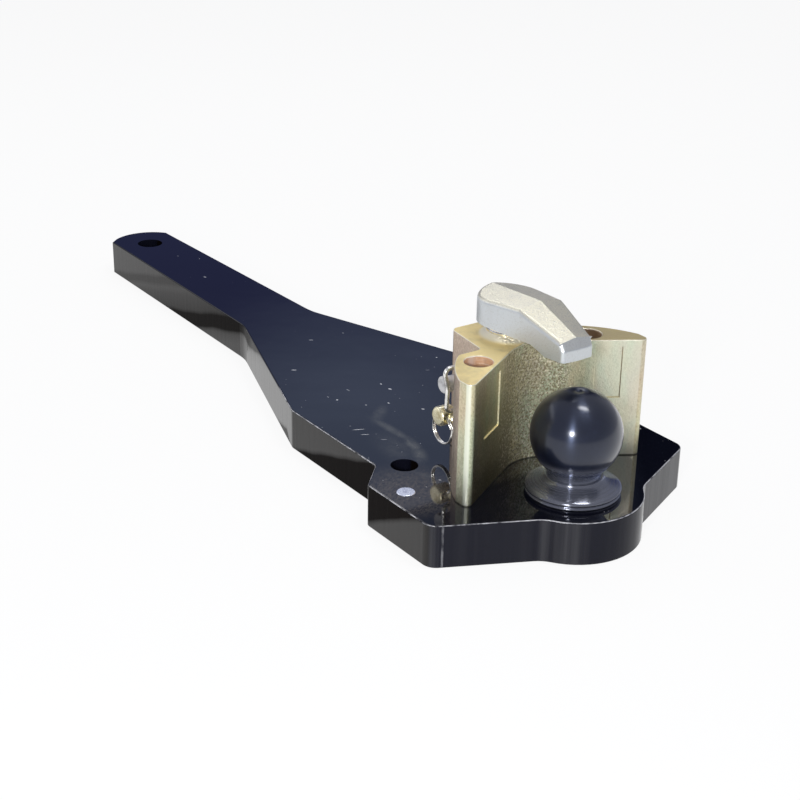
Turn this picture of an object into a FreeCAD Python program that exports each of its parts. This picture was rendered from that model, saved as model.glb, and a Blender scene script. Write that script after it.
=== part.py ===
import FreeCAD, Part
import math
import os

# Swinging drawbar plate with an 80 mm tow ball and a swing-aside hold-down.
# Origin: pivot bore axis on the underside. +X runs to the ball, +Z is up.

# Plate
plate_thickness = 40.0
ball_x = 805.0
pivot_bore_r = 15.0
pivot_end_r = 47.0
arm_half_rear = 36.5
arm_half_front = 43.0
shoulder_x = 310.0
shoulder_length = 220.0
wide_half = 116.5
ear_half = 143.8
ear_slope = 28.0
ear_setback = 104.0
ear_front_setback = 12.5
front_apex = 55.0
nose_r = 62.0
nose_fillet = 27.0
shoulder_fillet = 70.0
wide_corner_r = 12.0
ear_corner_r = 14.0
ear_rear_corner_r = 6.0
plate_edge_r = 1.3
side_bore_r = 12.5
side_bore_setback = 118.5
side_bore_y = 94.7
ear_plug_r = 8.5
ear_plug_depth = 14.0
ear_plug_proud = 0.4
ear_plug_setback = 75.0
ear_plug_y = 123.5
ear_plug_round = 1.0

# Ball
ball_r = 40.0
ball_height = 54.0
ball_flat_r = 9.0
ball_dimple_r = 3.2
ball_dimple_depth = 2.6
neck_r = 23.8
neck_bead_r = 25.6
neck_bead_height = 1.6
neck_bead_step = 0.6
flange_r = 42.0
flange_rim = 7.0
flange_rim_round = 2.5
flange_rise = 15.0
flange_foot_chamfer = 1.0
shank_r = 22.5
shank_chamfer = 1.0
weld_leg = 6.0
weld_inset = 0.5

# Housing
housing_height = 112.0
vee_half_angle = 59.2
vee_arc_r = 43.0
vee_apex_setback = 71.0
wing_bulge = 6.5
wing_half = 99.0
wing_back_setback = 82.3
block_back_setback = 136.0
block_half_front = 41.5
block_half_rear = 34.5
block_corner_r = 8.0
wing_corner_r = 5.0
wing_tip_r = 5.0
notch_fillet = 5.0
housing_edge_r = 0.9
panel_depth = 1.2
panel_draft = 0.6
left_panel_start = 24.4
left_panel_length = 33.6
left_panel_low = 52.0
left_panel_height = 51.0
right_panel_start = 40.0
right_panel_length = 24.5
right_panel_low = 57.0
right_panel_height = 48.5

# Housing screws and dowels
screw_setback = 61.0
screw_y = 60.8
counterbore_r = 12.5
counterbore_depth = 60.0
counterbore_chamfer = 0.7
screw_r = 8.0
screw_head_r = 11.6
screw_head_height = 16.0
screw_socket_r = 7.0
screw_grip = 30.0
screw_hole_gap = 0.75
screw_end_room = 2.0
washer_thickness = 3.0
washer_gap = 0.3
dowel_r = 6.0
dowel_setback = 46.0
dowel_y = 84.0
dowel_depth = 18.0
dowel_rise = 20.0
dowel_end_room = 1.0
seat_gap = 0.05

# Hold-down spindle
spindle_setback = 97.0
spindle_r = 18.0
spindle_foot_gap = 1.5
spindle_chamfer = 2.0
collar_r = 19.0
bush_wall = 1.5
seal_height = 3.0
bush_length = 22.0
washer_r = 20.2
thrust_thickness = 1.6
running_gap = 0.05
seat_lift = 0.1
lever_seat_r = 14.0
lever_seat_height = 19.0
lever_seat_room = 1.0
boss_top_r = 20.4
boss_rise = 5.6
boss_flare_r = 15.0
boss_foot_angle = 2.0

# Hold-down lever
lever_lift = 8.4
lever_depth = 30.3
lever_back_depth = 26.5
lever_back_r = 29.0
lever_mid_half = 24.0
lever_mid_setback = 52.0
lever_tip_half = 16.5
lever_tip_setback = 3.0
lever_crest_setback = 56.0
lever_slope_angle = 20.0
lever_tip_rise = 3.5
lever_tip_lean = 5.0
lever_tip_point = 1.3
lever_roof = 0.16
lever_pad_drop = 6.5
lever_pad_setback = 24.0
lever_pad_ramp = 16.0
lever_edge_r = 4.4
lever_tip_r = 4.0
roll_pin_r = 4.0
roll_pin_wall = 1.2
roll_pin_length = 26.0
roll_pin_inset = 1.5
roll_pin_slot = 1.0

# Cross pins of the hold-down
cross_pin_offset = 21.0
lock_pin_r = 7.0
lock_pin_rise = 68.5
lock_head_r = 8.0
lock_head_length = 6.0
lock_head_y = 55.0
lock_pin_reach = 22.0
linch_r = 5.5
linch_rise = 39.0
linch_head_r = 9.0
linch_head_length = 14.0
linch_head_y = 60.5
linch_reach = 20.0
pin_end_room = 2.0
pin_end_chamfer = 1.5
lock_head_round = 0.8
linch_head_round = 2.5
groove_gap = 0.3
ring_r = 13.5
ring_wire_r = 1.9
ring_hole_gap = 0.25

# Keeper wire and grease nipple
wire_r = 2.0
wire_gap = 0.7
wire_top_rise = 88.5
wire_low_rise = 47.0
wire_bow_y = 62.0
wire_waist_y = 57.5
wire_waist_rise = 70.0
wire_foot_y = 58.5
wire_seat = 7.0
wire_bend = 5.0
wire_bow_bend = 25.0
nipple_rise = 56.0
nipple_r = 4.0
nipple_thread = 10.0
nipple_drilling = 14.0
nipple_hex_r = 6.3
nipple_hex_length = 5.0
nipple_neck_r = 2.5
nipple_neck_length = 5.0
nipple_head_r = 3.2
grease_way_r = 1.5
grease_way_length = 25.0

# Derived places
plate_top = plate_thickness
housing_top = plate_top + housing_height
boss_top = housing_top + boss_rise
ball_z = plate_top + ball_height
spindle_x = ball_x - spindle_setback
cross_pin_x = spindle_x - cross_pin_offset
wing_outer_r = wing_half + wing_bulge
lock_pin_height = plate_top + lock_pin_rise
linch_height = plate_top + linch_rise
nipple_height = plate_top + nipple_rise
wire_top = plate_top + wire_top_rise
wire_low = plate_top + wire_low_rise
wire_waist = plate_top + wire_waist_rise
lever_underside = boss_top + lever_lift
lever_top = lever_underside + lever_depth
lever_back_top = lever_underside + lever_back_depth
Z = FreeCAD.Vector(0, 0, 1)


def vec(x, y, z=0.0):
    return FreeCAD.Vector(x, y, z)


def disc(x, y, z, r, height):
    return Part.makeCylinder(r, height, vec(x, y, z), Z)


def rod(x, y, z, r, length, direction):
    return Part.makeCylinder(r, length, vec(x, y, z), direction)


def mirrored(shape):
    return shape.mirror(vec(0, 0, 0), vec(0, 1, 0))


def both_sides(shape):
    return Part.makeCompound([shape, mirrored(shape)])


def rounded_path(corners, closed=True):
    """Wire through (point, radius) corners, each rounded by a tangent arc."""
    edges = []
    first = None
    last = None
    count = len(corners)
    for i in range(count):
        here, r = corners[i]
        if r > 0:
            back = corners[i - 1][0] - here
            ahead = corners[(i + 1) % count][0] - here
            room = 0.48 * min(back.Length, ahead.Length)
            back.normalize()
            ahead.normalize()
            half = back.getAngle(ahead) / 2
            reach = min(r / math.tan(half), room)
            radius = reach * math.tan(half)
            bisector = back + ahead
            bisector.normalize()
            start = here + back * reach
            mid = here + bisector * (radius / math.sin(half) - radius)
            end = here + ahead * reach
        else:
            start = here
            end = here
        if last is not None and (start - last).Length > 1e-6:
            edges.append(Part.LineSegment(last, start).toShape())
        if r > 0:
            edges.append(Part.Arc(start, mid, end).toShape())
        if first is None:
            first = start
        last = end
    if closed and (first - last).Length > 1e-6:
        edges.append(Part.LineSegment(last, first).toShape())
    return Part.Wire(edges)


def prism(corners, z, height):
    outline = rounded_path([(vec(x, y, z), r) for x, y, r in corners])
    return Part.Face(outline).extrude(vec(0, 0, height))


def revolved(points, x, z=0.0):
    """Solid turned about the upright axis at x from (radius, height) points."""
    wire = Part.makePolygon([vec(r, 0, h) for r, h in points + points[:1]])
    solid = Part.Face(wire).revolve(vec(0, 0, 0), Z, 360)
    solid.translate(vec(x, 0, z))
    return solid


def level_edges(shape, z):
    return [e for e in shape.Edges if abs(e.BoundBox.ZMin - z) < 1e-3 and abs(e.BoundBox.ZMax - z) < 1e-3]


def upright_edges(shape, x_low, x_high, y_low, y_high):
    found = []
    for e in shape.Edges:
        box = e.BoundBox
        upright = box.ZLength > 1 and box.XLength < 1e-3 and box.YLength < 1e-3
        if upright and x_low < box.XMin < x_high and y_low < abs(box.YMin) < y_high:
            found.append(e)
    return found


def plate_blank():
    half = [
        (ball_x - ear_front_setback, ear_half, ear_corner_r),
        (ball_x - ear_setback, ear_half, ear_rear_corner_r),
        (ball_x - ear_setback - ear_slope, wide_half, ear_rear_corner_r),
        (shoulder_x + shoulder_length, wide_half, wide_corner_r),
        (shoulder_x, arm_half_front, shoulder_fillet),
        (-pivot_end_r - 10, arm_half_rear, 0),
    ]
    outline = [(ball_x + front_apex, 0, 0)] + half + [(x, -y, r) for x, y, r in reversed(half)]
    blank = prism(outline, 0, plate_thickness)
    rear = disc(0, 0, 0, pivot_end_r, plate_thickness)
    ahead = Part.makeBox(2 * ball_x, 4 * ear_half, plate_thickness, vec(0, -2 * ear_half, 0))
    blank = blank.common(rear.fuse(ahead))
    blank = blank.fuse(disc(ball_x, 0, 0, nose_r, plate_thickness)).removeSplitter()
    corners = upright_edges(blank, ball_x, ball_x + nose_r - 0.5, 5, nose_r)
    return blank.makeFillet(nose_fillet, corners)


def drawbar_plate():
    blank = plate_blank()
    edges = level_edges(blank, 0) + level_edges(blank, plate_thickness)
    plate = blank.makeFillet(plate_edge_r, edges)
    holes = [disc(0, 0, 0, pivot_bore_r, plate_thickness)]
    side_x = ball_x - side_bore_setback
    screw_x = ball_x - screw_setback
    dowel_x = ball_x - dowel_setback
    plug_x = ball_x - ear_plug_setback
    for s in (-1, 1):
        holes.append(disc(side_x, s * side_bore_y, 0, side_bore_r, plate_thickness))
        holes.append(disc(screw_x, s * screw_y, plate_top - screw_grip, screw_r, screw_grip))
        holes.append(disc(dowel_x, s * dowel_y, plate_top - dowel_depth, dowel_r, dowel_depth))
        holes.append(disc(plug_x, s * ear_plug_y, plate_top - ear_plug_depth, ear_plug_r, ear_plug_depth))
    holes.append(disc(ball_x, 0, 0, shank_r + seat_gap, plate_thickness))
    holes.append(Part.makeCone(shank_r + weld_leg, shank_r, weld_leg, vec(ball_x, 0, 0), Z))
    return plate.cut(holes)


def tow_ball():
    foot = -plate_thickness + weld_inset
    bead = flange_rise + neck_bead_height
    shaft = revolved([
        (0, foot), (shank_r - shank_chamfer, foot), (shank_r, foot + shank_chamfer), (shank_r, 0),
        (flange_r - flange_foot_chamfer, 0), (flange_r, flange_foot_chamfer), (flange_r, flange_rim),
        (neck_bead_r, flange_rise), (neck_bead_r, bead), (neck_r, bead + neck_bead_step),
        (neck_r, ball_height), (0, ball_height)], ball_x, plate_top)
    shaft = shaft.makeFillet(flange_rim_round, level_edges(shaft, plate_top + flange_rim))
    top = math.sqrt(ball_r ** 2 - ball_flat_r ** 2)
    sphere = Part.makeSphere(ball_r, vec(ball_x, 0, ball_z), Z)
    cap = disc(ball_x, 0, ball_z - ball_r, ball_r + 1, ball_r + top)
    dimple_foot = vec(ball_x, 0, ball_z + top - ball_dimple_depth)
    dimple = Part.makeCone(0, ball_dimple_r, ball_dimple_depth, dimple_foot, Z)
    return shaft.fuse(sphere.common(cap)).removeSplitter().cut(dimple)


def ball_weld():
    inner = shank_r + seat_gap
    outer = shank_r + weld_leg - weld_inset
    return revolved([(inner, weld_inset), (outer, weld_inset), (inner, weld_leg - seat_gap)], ball_x)


def housing_outline():
    """Plan of the casting: crescent wings with a vee towards the ball and a block behind."""
    slope = math.radians(vee_half_angle)
    centre = -vee_apex_setback + vee_arc_r
    # The vee flank touches the apex arc at this point and runs out at the vee's half angle.
    touch_x = centre - vee_arc_r * math.sin(slope)
    touch_y = vee_arc_r * math.cos(slope)
    flank_x = touch_x + (wing_half - touch_y) / math.tan(slope)
    side_x = -math.sqrt(wing_outer_r ** 2 - wing_half ** 2)
    back_y = math.sqrt(wing_outer_r ** 2 - wing_back_setback ** 2)
    middle = math.atan2(wing_half + back_y, side_x - wing_back_setback)

    def at(x, y):
        return vec(ball_x + x, y, plate_top)

    apex = at(-vee_apex_setback, 0)
    edges = [Part.Arc(at(touch_x, -touch_y), apex, at(touch_x, touch_y)).toShape()]
    for s in (1, -1):
        outer_mid = at(wing_outer_r * math.cos(middle), s * wing_outer_r * math.sin(middle))
        corners = [
            at(touch_x, s * touch_y), at(flank_x, s * wing_half), at(side_x, s * wing_half),
            at(-wing_back_setback, s * back_y), at(-wing_back_setback, s * block_half_front),
            at(-block_back_setback, s * block_half_rear),
        ]
        edges.append(Part.LineSegment(corners[0], corners[1]).toShape())
        edges.append(Part.LineSegment(corners[1], corners[2]).toShape())
        edges.append(Part.Arc(corners[2], outer_mid, corners[3]).toShape())
        edges.append(Part.LineSegment(corners[3], corners[4]).toShape())
        edges.append(Part.LineSegment(corners[4], corners[5]).toShape())
    rear = -block_back_setback
    edges.append(Part.LineSegment(at(rear, block_half_rear), at(rear, -block_half_rear)).toShape())
    return Part.Wire(Part.__sortEdges__(edges))


def flank_panels():
    """Sunk plain panels on both vee flanks, as solids to cut away."""
    left = sunk_panel(-1, left_panel_start, left_panel_length, left_panel_low, left_panel_height)
    right = sunk_panel(1, right_panel_start, right_panel_length, right_panel_low, right_panel_height)
    return [left, right]


def sunk_panel(side, begin, length, low, height):
    """Tapered block whose small face is the panel's floor inside the flank."""
    slope = math.radians(vee_half_angle)
    along = vec(math.cos(slope), side * math.sin(slope))
    inward = vec(-math.sin(slope), side * math.cos(slope))
    foot = vec(ball_x - vee_apex_setback + vee_arc_r, 0) + inward * vee_arc_r
    wires = []
    for depth, inset in ((-panel_depth, -panel_draft), (panel_depth, panel_draft)):
        start = foot + along * (begin + inset) + inward * depth
        end = foot + along * (begin + length - inset) + inward * depth
        bottom = plate_top + low + inset
        top = plate_top + low + height - inset
        corners = [(start, bottom), (end, bottom), (end, top), (start, top), (start, bottom)]
        wires.append(Part.makePolygon([vec(p.x, p.y, z) for p, z in corners]))
    return Part.makeLoft(wires, True, True)


def hold_down_housing():
    body = Part.Face(housing_outline()).extrude(vec(0, 0, housing_height))
    notch = upright_edges(body, ball_x - wing_back_setback - 0.5, ball_x - wing_back_setback + 0.5,
                          block_half_front - 1, block_half_front + 1)
    body = body.makeFillet(notch_fillet, notch)
    wing = upright_edges(body, ball_x - wing_back_setback - 0.5, ball_x - wing_back_setback + 0.5,
                         block_half_front + notch_fillet + 2, wing_half)
    body = body.makeFillet(wing_corner_r, wing)
    tip = upright_edges(body, ball_x - wing_back_setback / 2, ball_x, wing_half - 0.5, wing_half + 0.5)
    front = max(e.BoundBox.XMax for e in tip)
    body = body.makeFillet(wing_tip_r, [e for e in tip if e.BoundBox.XMax > front - 0.1])
    rear = ball_x - block_back_setback
    body = body.makeFillet(block_corner_r, upright_edges(body, rear - 0.5, rear + 0.5, 0, wing_half))
    boss = spindle_boss(body)
    body = body.makeFillet(housing_edge_r, level_edges(body, housing_top)).fuse(boss)
    bore_r = spindle_r + bush_wall + seat_gap
    tools = [disc(spindle_x, 0, plate_top, bore_r, housing_height + boss_rise)]
    for s in (-1, 1):
        x = ball_x - screw_setback
        sunk_z = housing_top - counterbore_depth
        tools.append(disc(x, s * screw_y, sunk_z, counterbore_r, counterbore_depth))
        tools.append(Part.makeCone(counterbore_r, counterbore_r + counterbore_chamfer, counterbore_chamfer,
                                   vec(x, s * screw_y, housing_top - counterbore_chamfer), Z))
        tools.append(disc(x, s * screw_y, plate_top, screw_r + screw_hole_gap, housing_height))
        tools.append(disc(ball_x - dowel_setback, s * dowel_y, plate_top, dowel_r, dowel_rise))
    side = vec(0, 1, 0)
    start = -block_half_front - 5
    tools.append(rod(cross_pin_x, start, lock_pin_height, lock_pin_r + running_gap,
                     lock_pin_reach + pin_end_room - start, side))
    tools.append(rod(cross_pin_x, start, linch_height, linch_r + running_gap,
                     linch_reach + pin_end_room - start, side))
    tools.append(rod(rear, 0, nipple_height, nipple_r, nipple_drilling, vec(1, 0, 0)))
    tools.append(rod(rear, 0, nipple_height, grease_way_r, grease_way_length, vec(1, 0, 0)))
    tools += [rod(keeper_x(), -wire_bow_y, z, wire_r + seat_gap, wire_bow_y - wire_end_y(), side)
              for z in (wire_top, wire_low)]
    return body.cut(tools + flank_panels())


def spindle_boss(body):
    """Flared boss that sweeps up to the spindle, trimmed to the casting's plan."""
    # The hollow sweep leaves the flat top at a small angle and steepens up to the rim.
    low_turn = math.radians(boss_foot_angle)
    high_turn = math.acos(math.cos(low_turn) - boss_rise / boss_flare_r)
    centre = vec(boss_top_r + boss_flare_r * math.sin(high_turn), 0,
                 housing_top + boss_flare_r * math.cos(low_turn))
    foot, middle, rim = [centre - vec(math.sin(a), 0, math.cos(a)) * boss_flare_r
                         for a in (low_turn, (low_turn + high_turn) / 2, high_turn)]
    sweep = Part.Arc(foot, middle, rim)
    corners = [rim, vec(0, 0, boss_top), vec(0, 0, housing_top), foot]
    face = Part.Face(Part.Wire([sweep.toShape()] + Part.makePolygon(corners).Edges))
    boss = face.revolve(vec(0, 0, 0), Z, 360)
    boss.translate(vec(spindle_x, 0))
    column = body.copy()
    column.translate(vec(0, 0, housing_height))
    return boss.common(column)


def hexagon(r):
    """Corners of a hexagon as pairs, with the corner radius r."""
    return [(r * math.cos(math.pi * k / 3), r * math.sin(math.pi * k / 3)) for k in range(6)]


def screws():
    x = ball_x - screw_setback
    seat = housing_top - counterbore_depth + washer_thickness
    foot = plate_top - screw_grip + screw_end_room
    shank = disc(x, screw_y, foot, screw_r - seat_gap, seat - foot)
    head = disc(x, screw_y, seat, screw_head_r, screw_head_height)
    corners = [(x + a, screw_y + b, 0) for a, b in hexagon(screw_socket_r)]
    socket = prism(corners, seat + screw_head_height / 2, screw_head_height)
    return both_sides(shank.fuse(head).cut(socket))


def washers():
    x = ball_x - screw_setback
    z = housing_top - counterbore_depth
    one = disc(x, screw_y, z, counterbore_r - washer_gap, washer_thickness)
    one = one.cut(disc(x, screw_y, z, screw_r + screw_hole_gap, washer_thickness))
    return both_sides(one)


def dowels():
    x = ball_x - dowel_setback
    foot = plate_top - dowel_depth + dowel_end_room
    length = dowel_depth + dowel_rise - 2 * dowel_end_room
    return both_sides(disc(x, dowel_y, foot, dowel_r - seat_gap, length))


def ear_plugs():
    x = ball_x - ear_plug_setback
    low = plate_top - ear_plug_depth
    one = disc(x, ear_plug_y, low, ear_plug_r - seat_gap, ear_plug_depth + ear_plug_proud)
    return both_sides(one.makeFillet(ear_plug_round, level_edges(one, plate_top + ear_plug_proud)))


def lever_blank():
    """Plan of the lever: a round back about the spindle that tapers to the tip."""
    tip = ball_x - lever_tip_setback
    mid = ball_x - lever_mid_setback
    # The straight flank leaves the back circle where it is tangent to it.
    reach = spindle_setback - lever_mid_setback
    distance = math.hypot(reach, lever_mid_half)
    lean = math.atan2(lever_mid_half, reach)
    spread = math.acos(min(1.0, lever_back_r / distance))
    touch = lean + spread
    meet_x = spindle_x + lever_back_r * math.cos(touch)
    meet_y = lever_back_r * math.sin(touch)
    flanks = [vec(meet_x, -meet_y), vec(mid, -lever_mid_half), vec(tip - lever_tip_point, -lever_tip_half),
              vec(tip, 0), vec(tip - lever_tip_point, lever_tip_half), vec(mid, lever_mid_half), vec(meet_x, meet_y)]
    back = Part.Arc(flanks[-1], vec(spindle_x - lever_back_r, 0), flanks[0]).toShape()
    outline = Part.Wire(Part.makePolygon(flanks).Edges + [back])
    return Part.Face(outline).extrude(vec(0, 0, 2 * lever_top))


def lever_side(top_shift):
    """Side profile of the lever as a face in the XZ plane."""
    back = spindle_x - lever_back_r - 5
    tip = ball_x - lever_tip_setback
    crest = ball_x - lever_crest_setback
    shoulder = tip - lever_tip_lean
    fall = (shoulder - crest) * math.tan(math.radians(lever_slope_angle))
    pad = ball_x - lever_pad_setback
    low = lever_underside - top_shift
    points = [
        (back, low), (pad - lever_pad_ramp, low), (pad, low - lever_pad_drop), (tip, low - lever_pad_drop),
        (tip, lever_underside + lever_tip_rise), (shoulder, lever_top - fall), (crest, lever_top),
        (back, lever_back_top)]
    wire = Part.makePolygon([vec(x, 0, z) for x, z in points + [points[0]]])
    return Part.Face(wire)


def rim_edges(shape):
    """Edges where an upright side meets a face that looks upwards."""
    found = []
    for e in shape.Edges:
        faces = shape.ancestorsOfType(e, Part.Face)
        middle = e.valueAt((e.FirstParameter + e.LastParameter) / 2)
        tilt = sorted(f.normalAt(*f.Surface.parameter(middle)).z for f in faces)
        if len(tilt) == 2 and abs(tilt[0]) < 0.01 and tilt[1] > 0.3:
            found.append(e)
    return found


def hold_down_lever():
    width = 2 * lever_back_r
    drop = lever_roof * width
    roof = lever_side(drop).extrude(vec(0, width, -drop))
    roof = roof.fuse(mirrored(roof))
    under = lever_side(0)
    under.translate(vec(0, -width, 0))
    under = under.extrude(vec(0, 2 * width, 0))
    lever = lever_blank().common(under).common(roof).removeSplitter()
    tip = ball_x - lever_tip_setback - lever_tip_point
    lever = lever.makeFillet(lever_tip_r, upright_edges(lever, tip - 0.1, tip + 0.1, 1, width))
    lever = lever.makeFillet(lever_edge_r, rim_edges(lever))
    seat = disc(spindle_x, 0, lever_underside - 1, lever_seat_r, lever_seat_height + 1)
    pin = rod(spindle_x - lever_back_r - 1, 0, lever_underside + lever_seat_height / 2, roll_pin_r,
              roll_pin_length + 1, vec(1, 0, 0))
    return lever.cut([seat, pin])


def hold_down_spindle():
    foot = plate_top + spindle_foot_gap
    seat = boss_top + thrust_thickness + seat_lift
    top = lever_underside + lever_seat_height - lever_seat_room
    body = revolved([
        (0, foot), (spindle_r - spindle_chamfer, foot), (spindle_r, foot + spindle_chamfer), (spindle_r, seat),
        (collar_r, seat), (collar_r, lever_underside), (lever_seat_r - seat_gap, lever_underside),
        (lever_seat_r - seat_gap, top), (0, top)], spindle_x)
    grooves = []
    for height, r in ((lock_pin_height, lock_pin_r), (linch_height, linch_r)):
        grooves.append(Part.makeTorus(cross_pin_offset, r + groove_gap, vec(spindle_x, 0, height), Z))
    pin = rod(spindle_x - lever_back_r, 0, lever_underside + lever_seat_height / 2, roll_pin_r,
              roll_pin_length, vec(1, 0, 0))
    return body.cut(grooves + [pin])


def lever_roll_pin():
    z = lever_underside + lever_seat_height / 2
    x = spindle_x - lever_back_r + roll_pin_inset
    length = roll_pin_length - roll_pin_inset - seat_gap
    tube = rod(x, 0, z, roll_pin_r - seat_gap, length, vec(1, 0, 0))
    tube = tube.cut(rod(x, 0, z, roll_pin_r - roll_pin_wall, length, vec(1, 0, 0)))
    slot = Part.makeBox(length, roll_pin_slot, roll_pin_r, vec(x, -roll_pin_slot / 2, z))
    return tube.cut(slot)


def bush(z):
    outer = disc(spindle_x, 0, z, spindle_r + bush_wall, bush_length)
    return outer.cut(disc(spindle_x, 0, z, spindle_r + running_gap, bush_length))


def spindle_seal():
    z = boss_top - seal_height
    outer = disc(spindle_x, 0, z, spindle_r + bush_wall, seal_height)
    return outer.cut(disc(spindle_x, 0, z, spindle_r + running_gap, seal_height))


def thrust_washer():
    outer = disc(spindle_x, 0, boss_top, washer_r, thrust_thickness)
    return outer.cut(disc(spindle_x, 0, boss_top, spindle_r + running_gap, thrust_thickness))


def headed_pin(height, r, reach, head_y, head_length, head_r, head_round):
    """Cross pin that enters the block from the -Y side."""
    side = vec(0, 1, 0)
    neck = head_y - head_length
    shank = rod(cross_pin_x, -neck, height, r, neck + reach, side)
    inner_end = [e for e in shank.Edges if e.BoundBox.YMin > reach - 0.01]
    shank = shank.makeChamfer(pin_end_chamfer, inner_end)
    head = rod(cross_pin_x, -head_y, height, head_r, head_length, side)
    outer_end = [e for e in head.Edges if e.BoundBox.YMax < -head_y + 0.01]
    return shank.fuse(head.makeFillet(head_round, outer_end))


def locking_pin():
    return headed_pin(lock_pin_height, lock_pin_r, lock_pin_reach, lock_head_y, lock_head_length,
                      lock_head_r, lock_head_round)


def linch_pin():
    pin = headed_pin(linch_height, linch_r, linch_reach, linch_head_y, linch_head_length,
                     linch_head_r, linch_head_round)
    return pin.cut(ring_eye())


def ring_eye():
    """Flared hole that lets the ring swing about its tangent."""
    inner = ring_r - ring_wire_r - ring_hole_gap
    reach = linch_head_r + 0.5
    mouth = ring_r - math.sqrt(inner ** 2 - reach ** 2)
    flare = Part.Arc(vec(-reach, mouth), vec(0, ring_r - inner), vec(reach, mouth)).toShape()
    sides = Part.makePolygon([vec(reach, mouth), vec(reach, 0), vec(-reach, 0), vec(-reach, mouth)])
    eye = Part.Face(Part.Wire([flare] + sides.Edges)).revolve(vec(0, 0, 0), vec(1, 0, 0), 360)
    eye.translate(vec(cross_pin_x, ring_eye_y(), linch_height))
    return eye


def ring_eye_y():
    return -linch_head_y + linch_head_length / 2


def linch_ring():
    centre = vec(cross_pin_x, ring_eye_y(), linch_height - ring_r)
    return Part.makeTorus(ring_r, ring_wire_r, centre, vec(0, 1, 0))


def keeper_x():
    """The wire stands just clear of the locking pin's head."""
    return cross_pin_x + lock_head_r + wire_gap + wire_r


def wire_end_y():
    """Depth of the wire's ends in the side of the block."""
    share = (keeper_x() - ball_x + wing_back_setback) / (wing_back_setback - block_back_setback)
    face = block_half_front + (block_half_rear - block_half_front) * share
    return face - wire_seat


def keeper_wire():
    """Bent wire beside the pin's head, both ends seated in the block."""
    end = -wire_end_y()
    route = [(end, wire_top, 0), (-wire_bow_y, wire_top, wire_bend), (-wire_waist_y, wire_waist, wire_bow_bend),
             (-wire_foot_y, wire_low, wire_bend), (end, wire_low, 0)]
    path = rounded_path([(vec(keeper_x(), y, z), r) for y, z, r in route], False)
    section = Part.Wire(Part.makeCircle(wire_r, vec(keeper_x(), end, wire_top), vec(0, 1, 0)))
    return path.makePipeShell([section], True, False)


def grease_nipple():
    x = ball_x - block_back_setback
    back = vec(-1, 0, 0)
    thread = rod(x + nipple_thread, 0, nipple_height, nipple_r - seat_gap, nipple_thread, back)
    corners = [vec(x, a, nipple_height + b) for a, b in hexagon(nipple_hex_r)]
    nut = Part.Face(Part.makePolygon(corners + corners[:1])).extrude(back * nipple_hex_length)
    neck_x = x - nipple_hex_length
    neck = rod(neck_x, 0, nipple_height, nipple_neck_r, nipple_neck_length, back)
    head = Part.makeSphere(nipple_head_r, vec(neck_x - nipple_neck_length, 0, nipple_height))
    return thread.fuse([nut, neck, head])


def write(name, shape):
    shape.exportStep("parts/" + name + ".step")
    solids = len(shape.Solids)
    print(name, "solids", solids, "volume", round(shape.Volume, 1), "valid", shape.isValid())


os.makedirs("parts", exist_ok=True)
write("drawbar_plate", drawbar_plate())
write("tow_ball", tow_ball())
write("ball_weld", ball_weld())
write("hold_down_housing", hold_down_housing())
write("housing_screws", screws())
write("screw_washers", washers())
write("dowel_pins", dowels())
write("ear_plugs", ear_plugs())
write("hold_down_lever", hold_down_lever())
write("hold_down_spindle", hold_down_spindle())
write("lever_roll_pin", lever_roll_pin())
write("upper_bush", bush(boss_top - seal_height - bush_length))
write("lower_bush", bush(plate_top + spindle_foot_gap))
write("spindle_seal", spindle_seal())
write("thrust_washer", thrust_washer())
write("locking_pin", locking_pin())
write("linch_pin", linch_pin())
write("linch_ring", linch_ring())
write("keeper_wire", keeper_wire())
write("grease_nipple", grease_nipple())
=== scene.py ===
import math

import bmesh
import bpy
from mathutils import Matrix, Vector


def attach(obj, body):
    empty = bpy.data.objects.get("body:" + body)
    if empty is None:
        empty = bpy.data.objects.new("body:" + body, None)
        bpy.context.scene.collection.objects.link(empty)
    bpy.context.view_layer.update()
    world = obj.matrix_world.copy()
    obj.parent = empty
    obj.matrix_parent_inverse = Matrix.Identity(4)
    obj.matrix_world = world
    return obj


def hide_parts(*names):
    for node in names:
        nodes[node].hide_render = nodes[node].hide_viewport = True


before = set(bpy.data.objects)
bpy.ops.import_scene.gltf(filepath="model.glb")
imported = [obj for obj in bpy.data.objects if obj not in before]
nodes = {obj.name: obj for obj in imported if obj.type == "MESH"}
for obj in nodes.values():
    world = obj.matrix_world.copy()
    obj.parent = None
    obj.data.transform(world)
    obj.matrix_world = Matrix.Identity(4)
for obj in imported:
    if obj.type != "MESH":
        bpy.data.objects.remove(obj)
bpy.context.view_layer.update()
print("frame loaded, nodes:", len(nodes))


# shader helpers: each adds one node and returns what the next one needs
def startMaterial(name):
    material = bpy.data.materials.new(name)
    material.use_nodes = True
    tree = material.node_tree
    return material, tree, tree.nodes["Principled BSDF"]


def feed(tree, socket, value):
    if isinstance(value, bpy.types.NodeSocket):
        tree.links.new(value, socket)
    elif isinstance(value, (tuple, list)) and len(value) == 3 and len(socket.default_value) == 4:
        socket.default_value = (*value, 1.0)
    else:
        socket.default_value = value


def place(tree):
    return tree.nodes.new("ShaderNodeTexCoord").outputs["Object"]


def stretch(tree, source, scale, turn=0.0, move=(0.0, 0.0, 0.0)):
    # the turn about Z comes first, so that the scale runs along the turned axes
    if turn:
        node = tree.nodes.new("ShaderNodeVectorRotate")
        node.rotation_type = "Z_AXIS"
        node.inputs["Angle"].default_value = -turn
        tree.links.new(source, node.inputs["Vector"])
        source = node.outputs["Vector"]
    node = tree.nodes.new("ShaderNodeMapping")
    node.inputs["Scale"].default_value = scale
    node.inputs["Location"].default_value = move
    tree.links.new(source, node.inputs["Vector"])
    return node.outputs["Vector"]


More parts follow.
